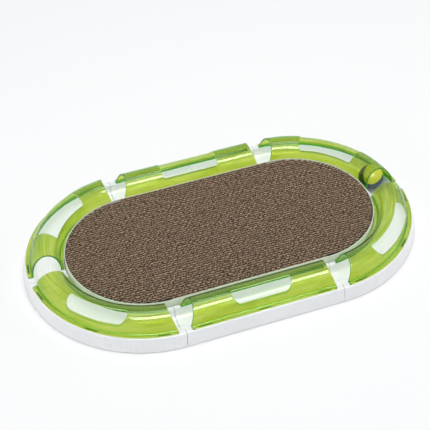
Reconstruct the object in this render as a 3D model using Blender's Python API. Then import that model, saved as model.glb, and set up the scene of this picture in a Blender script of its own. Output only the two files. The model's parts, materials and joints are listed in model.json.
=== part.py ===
"""Cat scratcher: a corrugated pad ringed by a covered ball track of six base sections and six covers."""
import math

import bmesh
import bpy
from mathutils import Euler, Vector

for old in list(bpy.data.objects):
    bpy.data.objects.remove(old, do_unlink=True)

# Driving sizes, in metres, with the two poles of the ring on the X axis and +Z up.
HALF_STRAIGHT = 0.120
TRACK_RADIUS = 0.1463
CHANNEL_HALF = 0.0205
CHANNEL_FLAT = 0.0057
CHANNEL_LIP = 0.0040
WALL = 0.0020
RIM_Z = 0.0240
FLOOR_Z = 0.0070
OUTER_HOLLOW = 0.0060
INNER_HOLLOW = 0.0029
MOUTH_ROUND = 0.0014
SKIRT_ROUND = 0.0020
WELL_ROUND = 0.0012
SKIRT_FLARE = 0.0032
SKIRT_LIFT = 0.0010
LEDGE_WIDTH = 0.0107
LEDGE_LIFT = 0.0012

COVER_WALL = 0.0018
FLANGE_THICK = 0.0016
OUTER_LIP = 0.0002
INNER_LIP = 0.0009
DOME_RISE = 0.0270
FOOT_FILLET = 0.0025
END_SETBACK = 0.00975
CREST_SETBACK = 0.0083
FLANGE_TIP = 0.0028

TAB_LENGTH = 0.0185
TAB_DEPTH = 0.0092
OUTER_TAB_THICK = 0.0018
STRAIGHT_TAB_X = 0.090
CURVE_TAB_ANGLES = (10.0, 45.0, 80.0)

WINDOW_HALF_LENGTH = 0.045
WINDOW_HALF_ANGLE = 19.0
NARROW_FROM_CREST = 0.0023
NARROW_OUTER_EDGE = 0.0033
WIDE_OUTER_EDGE = 0.0041
WIDE_INNER_EDGE = 0.0052
NARROW_OUTER_ROUND = 0.0110
WINDOW_ROUND = 0.0035

TONGUE_LENGTH = 0.0120
TONGUE_ROOT = 0.0140
TONGUE_WIDTH = 0.0160
TONGUE_THICK = 0.0020
GUIDE_THICK = 0.0016
PEG_DIAMETER = 0.0042

RUBBER_DIAMETER = 0.0120
BOSS_WALL = 0.0012
RUBBER_ANGLES = (22.5, 67.5)
RUBBER_STRAIGHT_X = 0.060

BAND_THICK = 0.0011
PAD_HEIGHT = 0.0315
STRIP_PITCH = 0.0045
STRIP_LINER = 0.0007
FLUTE_DEPTH = 0.0030

BALL_WALL = 0.0015
BALL_PATTERN = 1.5
BALL_ANGLE = 12.9
BALL_TURN = (58.0, 12.0, -8.0)

# Named clearances.
FIT_GAP = 0.0003
SLOT_GAP = 0.0004
SLOT_END_GAP = 0.0005
GUIDE_GAP = 0.0010
PAD_GAP = 0.0009
BALL_GAP = 0.0015

# Sizes that follow from the ones above.
BALL_RADIUS = CHANNEL_HALF - BALL_GAP
BALL_Z = FLOOR_Z + FIT_GAP + BALL_RADIUS
UNDER_FLOOR = FLOOR_Z - WALL
CHANNEL_OUTER = TRACK_RADIUS + CHANNEL_HALF
CHANNEL_INNER = TRACK_RADIUS - CHANNEL_HALF
WELL_RADIUS = CHANNEL_INNER - WALL - INNER_HOLLOW - WALL
SKIRT_RADIUS = CHANNEL_OUTER + WALL + OUTER_HOLLOW + WALL
PAD_BOTTOM = LEDGE_LIFT + WALL + FIT_GAP
BAND_OUTER = WELL_RADIUS - PAD_GAP
PAD_RADIUS = BAND_OUTER - BAND_THICK - FIT_GAP
FLANGE_BOTTOM = RIM_Z + FIT_GAP
FLANGE_TOP = FLANGE_BOTTOM + FLANGE_THICK
FLANGE_OUTER = SKIRT_RADIUS - SKIRT_ROUND + OUTER_LIP
FLANGE_INNER = WELL_RADIUS + INNER_LIP
DOME_HALF = CHANNEL_HALF + COVER_WALL
OUTER_SLOT_WIDE = OUTER_TAB_THICK + 2 * SLOT_GAP
OUTER_SLOT_RADIUS = CHANNEL_OUTER + WALL + OUTER_HOLLOW / 2
INNER_SLOT_WIDE = INNER_HOLLOW - 3 * SLOT_GAP
INNER_SLOT_RADIUS = WELL_RADIUS + WALL + SLOT_GAP + INNER_SLOT_WIDE / 2
INNER_TAB_THICK = INNER_SLOT_WIDE - 2 * FIT_GAP
TONGUE_TOP = UNDER_FLOOR - FIT_GAP
TONGUE_LOW = TONGUE_TOP - TONGUE_THICK
PEG_REACH = TONGUE_LENGTH * 0.55
CURVE_STATIONS = 10


def linear(red, green, blue):
    """Screen colour in 0-255 to scene-linear RGBA."""
    parts = []
    for value in (red, green, blue):
        share = value / 255
        parts.append(share / 12.92 if share <= 0.04045 else ((share + 0.055) / 1.055) ** 2.4)
    return (*parts, 1.0)


def plain_material(name, colour, roughness, metallic=0.0):
    """A Principled material with one colour."""
    material = bpy.data.materials.new(name)
    material.use_nodes = True
    shader = material.node_tree.nodes["Principled BSDF"]
    shader.inputs["Base Color"].default_value = colour
    shader.inputs["Roughness"].default_value = roughness
    shader.inputs["Metallic"].default_value = metallic
    material.diffuse_color = colour
    return material


def mesh_from(name, points, faces):
    """A closed mesh with its faces turned outwards."""
    shape = bmesh.new()
    corners = [shape.verts.new(point) for point in points]
    for face in faces:
        shape.faces.new([corners[index] for index in face])
    bmesh.ops.recalc_face_normals(shape, faces=shape.faces)
    mesh = bpy.data.meshes.new(name)
    shape.to_mesh(mesh)
    shape.free()
    return mesh


def joined(name, meshes):
    """Several meshes that stay apart, as one mesh."""
    shape = bmesh.new()
    for mesh in meshes:
        shape.from_mesh(mesh)
    result = bpy.data.meshes.new(name)
    shape.to_mesh(result)
    shape.free()
    return result


def boolean(mesh, tool, operation):
    """The mesh after an exact union or difference with the tool mesh."""
    body = bpy.data.objects.new("boolean_body", mesh)
    cutter = bpy.data.objects.new("boolean_tool", tool)
    for item in (body, cutter):
        bpy.context.scene.collection.objects.link(item)
    step = body.modifiers.new("step", "BOOLEAN")
    step.solver = "EXACT"
    step.operation = operation
    step.object = cutter
    bpy.context.view_layer.update()
    graph = bpy.context.evaluated_depsgraph_get()
    result = bpy.data.meshes.new_from_object(body.evaluated_get(graph))
    result.name = mesh.name
    for item in (body, cutter):
        bpy.data.objects.remove(item, do_unlink=True)
    return result


def smoothed(mesh, degrees):
    """Smooth shading with edges sharper than the angle kept crisp."""
    mesh.shade_smooth()
    mesh.set_sharp_from_angle(angle=math.radians(degrees))
    return mesh


def prism(outline, low, high):
    """An upright prism over a closed outline in X and Y."""
    count = len(outline)
    points = [(x, y, low) for x, y in outline] + [(x, y, high) for x, y in outline]
    sides = [(i, (i + 1) % count, (i + 1) % count + count, i + count) for i in range(count)]
    return mesh_from("prism", points, sides + [tuple(range(count)), tuple(range(count, 2 * count))])


def disc(x, y, radius, low, high, sides):
    """An upright cylinder."""
    turns = [2 * math.pi * i / sides for i in range(sides)]
    return prism([(x + radius * math.cos(t), y + radius * math.sin(t)) for t in turns], low, high)


def collar(x, y, inner, outer, low, high, sides):
    """An upright tube with flat ends."""
    rows = []
    for i in range(sides):
        turn = 2 * math.pi * i / sides
        section = ((inner, low), (outer, low), (outer, high), (inner, high))
        rows.append([(x + r * math.cos(turn), y + r * math.sin(turn), z) for r, z in section])
    return swept(rows, "collar", loop=True)


def swept(rows, name, loop=False, caps=None):
    """Rows of section points joined by quads, closed as a loop or by the cap faces at both ends."""
    size = len(rows[0])
    points = [point for row in rows for point in row]
    faces = []
    for row in range(len(rows) if loop else len(rows) - 1):
        here, there = row * size, (row + 1) % len(rows) * size
        for i in range(size):
            j = (i + 1) % size
            faces.append((here + i, here + j, there + j, there + i))
    if not loop:
        last = (len(rows) - 1) * size
        for cap in caps or [tuple(range(size))]:
            faces.append(cap)
            faces.append(tuple(last + i for i in cap))
    return mesh_from(name, points, faces)


def curve_rows(section, setback, stations=CURVE_STATIONS):
    """Section points swept round a quarter turn, both ends cut flat at each point's own setback."""
    rows = []
    for step in range(stations + 1):
        row = []
        for r, z in section:
            start = math.asin(setback(r, z) / r)
            turn = start + (math.pi / 2 - 2 * start) * step / stations
            row.append((r * math.cos(turn), r * math.sin(turn), z))
        rows.append(row)
    return rows


def straight_rows(section, setback):
    """Section points swept along the straight side, r measured from the X axis."""
    rows = []
    for side in (1, -1):
        rows.append([(side * (HALF_STRAIGHT - setback(r, z)), r, z) for r, z in section])
    return rows


def trough(depth, steps=4):
    """Half of the channel, from its wall down to the flat floor, at a depth into the plastic."""
    rise = RIM_Z - CHANNEL_LIP - FLOOR_Z
    reach = CHANNEL_HALF - CHANNEL_FLAT + depth
    points = []
    for step in range(steps + 1):
        turn = math.pi / 2 * (1 - step / steps)
        away, drop = reach * math.sin(turn), (rise + depth) * math.cos(turn)
        points.append((CHANNEL_FLAT + away, FLOOR_Z + rise - drop))
    return points


def base_section():
    """The U-channel with its skirt, two rims and the ledge under the pad, as one closed outline."""
    corner = 0.29
    top = [(SKIRT_RADIUS + SKIRT_FLARE, SKIRT_LIFT), (SKIRT_RADIUS, RIM_Z - SKIRT_ROUND)]
    top += [(SKIRT_RADIUS - corner * SKIRT_ROUND, RIM_Z - corner * SKIRT_ROUND)]
    top += [(SKIRT_RADIUS - SKIRT_ROUND, RIM_Z)]
    mouth = ((MOUTH_ROUND, 0.0), (corner * MOUTH_ROUND, corner * MOUTH_ROUND))
    top += [(CHANNEL_OUTER + dr, RIM_Z - dz) for dr, dz in mouth]
    top += [(TRACK_RADIUS + dr, z) for dr, z in trough(0.0)]
    top += [(TRACK_RADIUS - dr, z) for dr, z in reversed(trough(0.0))]
    top += [(CHANNEL_INNER - dr, RIM_Z - dz) for dr, dz in reversed(mouth)]
    top += [(WELL_RADIUS + WELL_ROUND, RIM_Z), (WELL_RADIUS, RIM_Z - WELL_ROUND)]
    top += [(WELL_RADIUS, LEDGE_LIFT + WALL), (WELL_RADIUS - LEDGE_WIDTH, LEDGE_LIFT + WALL)]
    under = [(WELL_RADIUS - LEDGE_WIDTH, LEDGE_LIFT), (WELL_RADIUS + WALL, LEDGE_LIFT)]
    under += [(WELL_RADIUS + WALL, RIM_Z - WALL), (CHANNEL_INNER - WALL, RIM_Z - WALL)]
    under += [(TRACK_RADIUS - dr, z) for dr, z in trough(WALL)]
    under += [(TRACK_RADIUS + dr, z) for dr, z in reversed(trough(WALL))]
    under += [(CHANNEL_OUTER + WALL, RIM_Z - WALL), (SKIRT_RADIUS - WALL, RIM_Z - WALL)]
    under += [(SKIRT_RADIUS + SKIRT_FLARE - WALL, SKIRT_LIFT)]
    return top + under


def upright(place, a0, a1, b0, b1, low, high):
    """A box set out from one end of a base section: a runs into the section, b across the track."""
    return prism([place(a0, b0), place(a1, b0), place(a1, b1), place(a0, b1)], low, high)


def tongue(place):
    """The connector tongue: rooted under the floor, with its free end passing under the next section."""
    half = TONGUE_WIDTH / 2
    root = UNDER_FLOOR + WALL * 0.3
    start = 2 * FIT_GAP
    profile = ((-TONGUE_LENGTH, TONGUE_LOW), (TONGUE_ROOT, TONGUE_LOW), (TONGUE_ROOT, root),
               (start, root), (start, TONGUE_TOP), (-TONGUE_LENGTH, TONGUE_TOP))
    rows = [[(*place(a, b), z) for a, z in profile] for b in (-half, half)]
    return swept(rows, "tongue")


def base_additions(near, far, rubber_spots):
    """Guides and peg at the near end, tongue at the far end, and a collar for each rubber foot."""
    parts = [tongue(far)]
    inside = TONGUE_WIDTH / 2 + GUIDE_GAP
    top = UNDER_FLOOR + WALL * 0.7
    for low, high in ((-inside - GUIDE_THICK, -inside), (inside, inside + GUIDE_THICK)):
        parts.append(upright(near, 2 * FIT_GAP, TONGUE_ROOT, low, high, TONGUE_LOW, top))
    x, y = near(PEG_REACH, 0.0)
    parts.append(disc(x, y, PEG_DIAMETER / 2, TONGUE_LOW + FIT_GAP, UNDER_FLOOR + WALL * 0.3, 8))
    hole = RUBBER_DIAMETER / 2 + FIT_GAP
    for x, y in rubber_spots:
        parts.append(collar(x, y, hole, hole + BOSS_WALL, 2 * SKIRT_LIFT, UNDER_FLOOR + WALL * 0.45, 12))
    return joined("additions", parts)


def base_mesh(name, rows, near, far, rubber_spots, tab_spots):
    """One base section: the swept channel with its fittings added, and its slots and peg hole cut."""
    mesh = boolean(swept(rows, name), base_additions(near, far, rubber_spots), "UNION")
    hole = disc(*far(-PEG_REACH, 0.0), PEG_DIAMETER / 2 + SLOT_GAP, 0.0, UNDER_FLOOR, 8)
    return smoothed(boolean(mesh, joined("cuts", slots(tab_spots) + [hole]), "DIFFERENCE"), 32)


def base_curve_mesh():
    """A quarter turn of the track about the pole, from the X axis round to the Y axis."""
    turns = [math.radians(degrees) for degrees in RUBBER_ANGLES]
    spots = [(TRACK_RADIUS * math.cos(turn), TRACK_RADIUS * math.sin(turn)) for turn in turns]
    rows = curve_rows(base_section(), lambda r, z: FIT_GAP / 2)
    near, far = lambda a, b: (TRACK_RADIUS + b, a), lambda a, b: (a, TRACK_RADIUS + b)
    return base_mesh("base_curve", rows, near, far, spots, curve_tab_spots)


def base_straight_mesh():
    """A straight length of track along X at positive Y, with its tongue at the negative X end."""
    spots = [(x, TRACK_RADIUS) for x in (-RUBBER_STRAIGHT_X, RUBBER_STRAIGHT_X)]
    rows = straight_rows(base_section(), lambda r, z: FIT_GAP / 2)
    return base_mesh("base_straight", rows, lambda a, b: (HALF_STRAIGHT - a, TRACK_RADIUS + b),
                     lambda a, b: (a - HALF_STRAIGHT, TRACK_RADIUS + b), spots, straight_tab_spots)


def turned_block(x, y, turn, length, wide, low, high, low_wide=None):
    """A box centred on a point and turned about Z, narrower at its foot if a second width is given."""
    along = (math.cos(turn), math.sin(turn))
    points = []
    for z, width in ((low, low_wide or wide), (high, wide)):
        for a, b in ((-1, -1), (1, -1), (1, 1), (-1, 1)):
            da, db = a * length / 2, b * width / 2
            points.append((x + da * along[0] - db * along[1], y + da * along[1] + db * along[0], z))
    faces = [(0, 1, 2, 3), (4, 5, 6, 7), (0, 1, 5, 4), (1, 2, 6, 5), (2, 3, 7, 6), (3, 0, 4, 7)]
    return mesh_from("block", points, faces)


def curve_tab_spots(radius):
    """Centre and heading of each tab on a quarter turn."""
    spots = []
    for degrees in CURVE_TAB_ANGLES:
        turn = math.radians(degrees)
        spots.append((radius * math.cos(turn), radius * math.sin(turn), turn + math.pi / 2))
    return spots


def straight_tab_spots(radius):
    """Centre and heading of each tab on a straight side."""
    return [(x, radius, 0.0) for x in (-STRAIGHT_TAB_X, 0.0, STRAIGHT_TAB_X)]


def slots(spots):
    """The six slots in the two rims of a base section."""
    parts = []
    length = TAB_LENGTH + 2 * SLOT_END_GAP
    for radius, wide in ((OUTER_SLOT_RADIUS, OUTER_SLOT_WIDE), (INNER_SLOT_RADIUS, INNER_SLOT_WIDE)):
        for x, y, turn in spots(radius):
            parts.append(turned_block(x, y, turn, length, wide, RIM_Z - 1.5 * WALL, RIM_Z + 0.5 * WALL))
    return parts


def tabs(spots):
    """The six snap tabs under the two flanges of a cover, tapered to lead into the slots."""
    parts = []
    for radius, thick in ((OUTER_SLOT_RADIUS, OUTER_TAB_THICK), (INNER_SLOT_RADIUS, INNER_TAB_THICK)):
        for x, y, turn in spots(radius):
            low, root = FLANGE_BOTTOM - TAB_DEPTH, FLANGE_BOTTOM + FLANGE_THICK / 2
            parts.append(turned_block(x, y, turn, TAB_LENGTH, thick, low, root, thick * 0.6))
    return joined("tabs", parts)


def cover_sides():
    """Outer and inner surface points of a cover, paired from the outer flange to the inner one."""
    pairs = []
    for back in (0.0, 0.3, 1.0):
        r = FLANGE_OUTER - back * FLANGE_TIP
        pairs.append(((r, FLANGE_TOP), (r, FLANGE_BOTTOM)))
    start = math.asin(FOOT_FILLET / DOME_RISE)
    hip = DOME_HALF * math.cos(start)
    inside = DOME_HALF - COVER_WALL
    turns = (262.0, 220.0)
    soles = ((FOOT_FILLET * 0.8, 0.0), (-COVER_WALL, 0.0))
    feet = []
    for degrees, sole in zip(turns, soles):
        turn = math.radians(degrees)
        r = hip + FOOT_FILLET + FOOT_FILLET * math.cos(turn)
        feet.append(((r, FLANGE_TOP + FOOT_FILLET + FOOT_FILLET * math.sin(turn)),
                     (DOME_HALF + sole[0], FLANGE_BOTTOM + sole[1])))
    pairs += [((TRACK_RADIUS + a, z), (TRACK_RADIUS + b, w)) for (a, z), (b, w) in feet]
    steps = 12
    for step in range(steps + 1):
        turn = start + (math.pi - 2 * start) * step / steps
        across, up = math.cos(turn), math.sin(turn)
        over = (TRACK_RADIUS + DOME_HALF * across, FLANGE_TOP + DOME_RISE * up)
        under = (TRACK_RADIUS + inside * across, FLANGE_TOP + (DOME_RISE - COVER_WALL) * up)
        pairs.append((over, under))
    pairs += [((TRACK_RADIUS - a, z), (TRACK_RADIUS - b, w)) for (a, z), (b, w) in reversed(feet)]
    tip = TRACK_RADIUS - hip - FOOT_FILLET * 1.2 - FLANGE_INNER
    for back in (1.0, 0.3, 0.0):
        r = FLANGE_INNER + back * tip
        pairs.append(((r, FLANGE_TOP), (r, FLANGE_BOTTOM)))
    return [pair[0] for pair in pairs], [pair[1] for pair in pairs]


def cover_setback(r, z):
    """How far a cover's end stands back from the joint plane, leaning in above the flange."""
    lean = CREST_SETBACK * max(0.0, z - FLANGE_TOP) / DOME_RISE
    tip_in = TRACK_RADIUS - DOME_HALF - FOOT_FILLET - FLANGE_INNER
    far = max(0.0, r - (FLANGE_OUTER - FLANGE_TIP)) / FLANGE_TIP
    near = max(0.0, (FLANGE_INNER + tip_in) - r) / tip_in
    out_round = FLANGE_TIP * (1 - math.sqrt(max(0.0, 1 - min(far, 1.0) ** 2)))
    in_round = tip_in * (1 - math.sqrt(max(0.0, 1 - min(near, 1.0) ** 2)))
    return END_SETBACK + lean + out_round + in_round


def rounded_outline(corners, rounds, steps=3):
    """A polygon whose corners are rounded by arcs of the given radii."""
    outline = []
    count = len(corners)
    for index, (corner, radius) in enumerate(zip(corners, rounds)):
        here = Vector(corner)
        before = (Vector(corners[index - 1]) - here).normalized()
        after = (Vector(corners[(index + 1) % count]) - here).normalized()
        opening = math.acos(max(-1.0, min(1.0, before.dot(after))))
        reach = radius / math.tan(opening / 2)
        centre = here + (before + after).normalized() * (radius / math.sin(opening / 2))
        first = here + before * reach - centre
        last = here + after * reach - centre
        for step in range(steps + 1):
            share = step / steps
            spoke = (first * (1 - share) + last * share).normalized() * radius
            outline.append((centre.x + spoke.x, centre.y + spoke.y))
    return outline


def window_cutter(wide, curved):
    """An upright cutter for a cover's window, with the narrow one wholly on the outer side of the crest."""
    low = TRACK_RADIUS + NARROW_FROM_CREST
    high = TRACK_RADIUS + DOME_HALF - NARROW_OUTER_EDGE
    outer = min(NARROW_OUTER_ROUND, (high - low) * 0.7)
    if wide:
        low = TRACK_RADIUS - DOME_HALF + WIDE_INNER_EDGE
        high = TRACK_RADIUS + DOME_HALF - WIDE_OUTER_EDGE
        outer = WINDOW_ROUND
    reach = math.radians(WINDOW_HALF_ANGLE) * TRACK_RADIUS if curved else WINDOW_HALF_LENGTH
    corners = [(-reach, low), (-reach, high), (reach, high), (reach, low)]
    flat = rounded_outline(corners, (WINDOW_ROUND, outer, outer, WINDOW_ROUND))
    outline = []
    for index, (x, y) in enumerate(flat):
        nx, ny = flat[(index + 1) % len(flat)]
        pieces = 5 if curved and abs(nx - x) > reach else 1
        for piece in range(pieces):
            px, py = x + (nx - x) * piece / pieces, y + (ny - y) * piece / pieces
            turn = math.pi / 4 - px / TRACK_RADIUS
            outline.append((py * math.cos(turn), py * math.sin(turn)) if curved else (px, py))
    return prism(outline, FLANGE_BOTTOM + FLANGE_THICK / 2, FLANGE_TOP + 1.2 * DOME_RISE)


def cover_mesh(name, wide, curved):
    """A domed cover with flanges, tabs and one window."""
    over, under = cover_sides()
    section = over + under[::-1]
    last = len(section) - 1
    caps = [(i, i + 1, last - i - 1, last - i) for i in range(len(over) - 1)]
    rows = (curve_rows if curved else straight_rows)(section, cover_setback)
    mesh = swept(rows, name, caps=caps)
    mesh = boolean(mesh, tabs(curve_tab_spots if curved else straight_tab_spots), "UNION")
    return smoothed(boolean(mesh, window_cutter(wide, curved), "DIFFERENCE"), 32)


def pad_mesh():
    """The corrugated pad: strips on edge along X, the flutes sunk between the liners that part them."""
    count = max(3, round(2 * PAD_RADIUS / STRIP_PITCH))
    pitch = 2 * PAD_RADIUS / count
    stops = [(-PAD_RADIUS, 0.0)]
    for strip in range(count):
        left = -PAD_RADIUS + strip * pitch
        stops.append((left + STRIP_LINER / 2, 0.0))
        stops.append((left + pitch / 2, FLUTE_DEPTH))
        stops.append((left + pitch - STRIP_LINER / 2, 0.0))
    stops.append((PAD_RADIUS, 0.0))
    rows = []
    for y, dip in stops:
        end = HALF_STRAIGHT + math.sqrt(max(0.0, PAD_RADIUS ** 2 - y ** 2))
        top = PAD_BOTTOM + PAD_HEIGHT - dip
        rows.append([(-end, y, PAD_BOTTOM), (end, y, PAD_BOTTOM), (end, y, top), (-end, y, top)])
    return swept(rows, "scratch_pad")


def band_mesh():
    """The thin band round the pad's edge."""
    inner = BAND_OUTER - BAND_THICK
    section = ((inner, PAD_BOTTOM), (BAND_OUTER, PAD_BOTTOM))
    section += ((BAND_OUTER, PAD_BOTTOM + PAD_HEIGHT), (inner, PAD_BOTTOM + PAD_HEIGHT))
    rows = []
    for pole, begin in ((HALF_STRAIGHT, -90.0), (-HALF_STRAIGHT, 90.0)):
        for step in range(29):
            turn = math.radians(begin + 180.0 * step / 28)
            rows.append([(pole + r * math.cos(turn), r * math.sin(turn), z) for r, z in section])
    return smoothed(swept(rows, "pad_edge_band", loop=True), 32)


def seam_latitude(turn):
    """Latitude of the wavy seam that parts the ball into two equal halves."""
    bend = BALL_PATTERN * math.cos(2 * turn)
    if abs(bend) < 1e-6:
        return 0.0
    return math.asin((math.sqrt(1 + 4 * bend * bend) - 1) / (2 * bend))


def ball_shell_mesh():
    """One half of the ball: a thin bowl whose rim follows the wavy seam."""
    around = 24
    points = []
    faces = []
    rims = []
    for radius, rings in ((BALL_RADIUS, 6), (BALL_RADIUS - BALL_WALL, 4)):
        pole = len(points)
        points.append((0.0, 0.0, radius))
        for ring in range(1, rings + 1):
            for step in range(around):
                turn = 2 * math.pi * step / around
                rim = seam_latitude(turn) + FIT_GAP / 2 / BALL_RADIUS
                height = math.pi / 2 - (math.pi / 2 - rim) * ring / rings
                flat = radius * math.cos(height)
                points.append((flat * math.cos(turn), flat * math.sin(turn), radius * math.sin(height)))
        for i in range(around):
            j = (i + 1) % around
            faces.append((pole, pole + 1 + i, pole + 1 + j))
            for ring in range(rings - 1):
                a = pole + 1 + ring * around
                faces.append((a + i, a + j, a + around + j, a + around + i))
        rims.append(pole + 1 + (rings - 1) * around)
    for i in range(around):
        j = (i + 1) % around
        faces.append((rims[0] + i, rims[0] + j, rims[1] + j, rims[1] + i))
    return smoothed(mesh_from("ball_shell", points, faces), 40)


def put(name, mesh, material, location=(0.0, 0.0, 0.0), turn=0.0, parent=None):
    """One named object with its own material."""
    if not mesh.materials:
        mesh.materials.append(material)
    item = bpy.data.objects.new(name, mesh)
    bpy.context.scene.collection.objects.link(item)
    item.material_slots[0].link = "OBJECT"
    item.material_slots[0].material = material
    item.location = location
    item.rotation_euler = (0.0, 0.0, math.radians(turn))
    item.parent = parent
    return item


def build_bases():
    """Four curved and two straight base sections, each in its own place round the ring."""
    white = (226, 227, 230)
    curve = base_curve_mesh()
    straight = base_straight_mesh()
    places = (("back_right", 1, 0.0), ("back_left", -1, 90.0),
              ("front_left", -1, 180.0), ("front_right", 1, 270.0))
    for where, side, turn in places:
        material = plain_material("white_base_" + where, linear(*white), 0.35)
        put("base_curve_" + where, curve, material, (side * HALF_STRAIGHT, 0.0, 0.0), turn)
    for where, turn in (("back", 0.0), ("front", 180.0)):
        material = plain_material("white_base_straight_" + where, linear(*white), 0.35)
        put("base_straight_" + where, straight, material, turn=turn)


def build_covers():
    """Six lift-off covers; the front three have the window on the outer side."""
    green = (168, 190, 60)
    narrow = cover_mesh("cover_curve_narrow", False, True)
    wide = cover_mesh("cover_curve_wide", True, True)
    places = (("back_right", 1, 0.0, wide), ("back_left", -1, 90.0, wide),
              ("front_left", -1, 180.0, narrow), ("front_right", 1, 270.0, narrow))
    for where, side, turn, mesh in places:
        material = plain_material("green_cover_" + where, linear(*green), 0.15)
        put("cover_curve_" + where, mesh, material, (side * HALF_STRAIGHT, 0.0, 0.0), turn)
    for where, turn, is_wide in (("back", 0.0, True), ("front", 180.0, False)):
        material = plain_material("green_cover_straight_" + where, linear(*green), 0.15)
        mesh = cover_mesh("cover_straight_" + where, is_wide, False)
        put("cover_straight_" + where, mesh, material, turn=turn)


def build_pad():
    """The pad and its edge band, both resting over the ledge."""
    put("scratch_pad", pad_mesh(), plain_material("brown_cardboard", linear(146, 117, 88), 0.9))
    put("pad_edge_band", band_mesh(), plain_material("pale_card_band", linear(200, 205, 188), 0.8))


def build_ball():
    """The two half shells of the ball, carried on a pivot over the right pole."""
    pivot = bpy.data.objects.new("ball_path_pivot", None)
    bpy.context.scene.collection.objects.link(pivot)
    pivot.location = (HALF_STRAIGHT, 0.0, 0.0)
    pivot.rotation_euler = (0.0, 0.0, math.radians(BALL_ANGLE))
    shell = ball_shell_mesh()
    lime_colour = plain_material("lime_ball", linear(205, 214, 60), 0.35)
    slate_colour = plain_material("slate_ball", linear(78, 92, 112), 0.35)
    lime = put("ball_shell_lime", shell, lime_colour, parent=pivot)
    slate = put("ball_shell_slate", shell, slate_colour, parent=pivot)
    turned = Euler([math.radians(value) for value in BALL_TURN]).to_matrix()
    flipped = Euler((math.pi, 0.0, 0.0)).to_matrix() @ Euler((0.0, 0.0, math.pi / 2)).to_matrix()
    for item, attitude in ((lime, turned), (slate, turned @ flipped)):
        item.location = (TRACK_RADIUS, 0.0, BALL_Z)
        item.rotation_euler = attitude.to_euler()


def build_rubber_feet():
    """Twelve rubber feet, two under each base section."""
    spots = []
    for side, start in ((1, 0.0), (-1, 90.0), (-1, 180.0), (1, 270.0)):
        for degrees in RUBBER_ANGLES:
            turn = math.radians(start + degrees)
            x = side * HALF_STRAIGHT + TRACK_RADIUS * math.cos(turn)
            spots.append((x, TRACK_RADIUS * math.sin(turn)))
    for side in (1, -1):
        spots += [(x, side * TRACK_RADIUS) for x in (-RUBBER_STRAIGHT_X, RUBBER_STRAIGHT_X)]
    mesh = smoothed(disc(0.0, 0.0, RUBBER_DIAMETER / 2, 0.0, UNDER_FLOOR - FIT_GAP, 12), 32)
    for number, (x, y) in enumerate(spots, 1):
        material = plain_material("grey_rubber_%02d" % number, linear(70, 72, 74), 0.85)
        put("rubber_foot_%02d" % number, mesh, material, (x, y, 0.0))


build_bases()
build_covers()
build_pad()
build_ball()
build_rubber_feet()
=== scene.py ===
import json
import math

import bmesh
import bpy
from mathutils import Euler, Matrix, Vector

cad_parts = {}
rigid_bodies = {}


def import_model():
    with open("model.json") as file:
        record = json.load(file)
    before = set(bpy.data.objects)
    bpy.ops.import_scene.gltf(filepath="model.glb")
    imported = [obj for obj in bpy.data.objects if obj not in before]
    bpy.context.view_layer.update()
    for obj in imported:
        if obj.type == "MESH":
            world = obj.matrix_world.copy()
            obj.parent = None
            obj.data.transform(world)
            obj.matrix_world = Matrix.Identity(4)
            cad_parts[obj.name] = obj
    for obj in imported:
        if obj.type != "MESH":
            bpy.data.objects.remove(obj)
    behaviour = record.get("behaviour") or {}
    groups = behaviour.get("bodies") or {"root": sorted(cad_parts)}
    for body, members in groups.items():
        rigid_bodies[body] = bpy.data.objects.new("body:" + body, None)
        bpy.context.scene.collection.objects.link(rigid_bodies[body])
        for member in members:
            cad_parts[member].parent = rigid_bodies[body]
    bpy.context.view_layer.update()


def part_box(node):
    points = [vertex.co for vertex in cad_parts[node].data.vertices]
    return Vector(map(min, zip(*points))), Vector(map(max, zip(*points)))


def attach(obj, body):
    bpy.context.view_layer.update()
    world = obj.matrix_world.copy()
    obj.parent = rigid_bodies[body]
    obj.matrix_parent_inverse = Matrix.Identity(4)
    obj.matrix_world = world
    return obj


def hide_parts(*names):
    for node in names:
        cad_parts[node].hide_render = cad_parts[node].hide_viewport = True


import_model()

# Base sections. Six white moulded lengths of U-channel, four curved and two straight, open underneath,
# clipped end to end by tongues under the floor. Both rims are slotted for the covers' tabs.

HALF_STRAIGHT = 0.120
TRACK_RADIUS = 0.1463
CHANNEL_HALF = 0.0205
CHANNEL_FLAT = 0.0057
CHANNEL_LIP = 0.0040
BASE_WALL = 0.0020
RIM_Z = 0.0240
FLOOR_Z = 0.0070
WELL_RADIUS = 0.1189
SKIRT_RADIUS = 0.1768
SKIRT_FLARE = 0.0032
SKIRT_LIFT = 0.0010
SKIRT_OVERRUN = 0.0010
SKIRT_ROUND = 0.0019
EDGE_ROUND = 0.0003
RIM_ROUND = 0.0012
LIP_OVERHANG = 0.0002
LEDGE_WIDTH = 0.0107
LEDGE_TOP = 0.0032
LEDGE_ROUND = 0.0004
LEDGE_HOLLOW = 0.0008
WALL_HOLLOW = 0.0005
SEAM_GAP = 0.0003
BASE_SEAM = 0.0007
TONGUE_LENGTH = 0.0120
TONGUE_ROOT = 0.0140
TONGUE_HALF = 0.0080
TONGUE_LOW = 0.0027
TONGUE_TOP = 0.0047
PEG_PLACE = 0.55 * TONGUE_LENGTH
PEG_RADIUS = 0.0021
PEG_HOLE_RADIUS = 0.0025
GUIDE_THICK = 0.0016
GUIDE_GAP = 0.0010
RUBBER_HOLE = 0.0063
BOSS_WALL = 0.0012
BOSS_FOOT = 2 * SKIRT_LIFT
BOSS_SIDES = 32
RUBBER_ANGLES = (22.5, 67.5)
RUBBER_STRAIGHT_X = 0.060
OUTER_SLOT = (0.1718, 0.0026)
INNER_SLOT = (0.12215, 0.0017)
SLOT_LENGTH = 0.0195
TAB_ANGLES = (10.0, 45.0, 80.0)
TAB_STRAIGHT_X = (-0.090, 0.0, 0.090)
FLOOR_LINE_R = 0.1432
FLOOR_LINE_HALF = 0.0006
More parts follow.
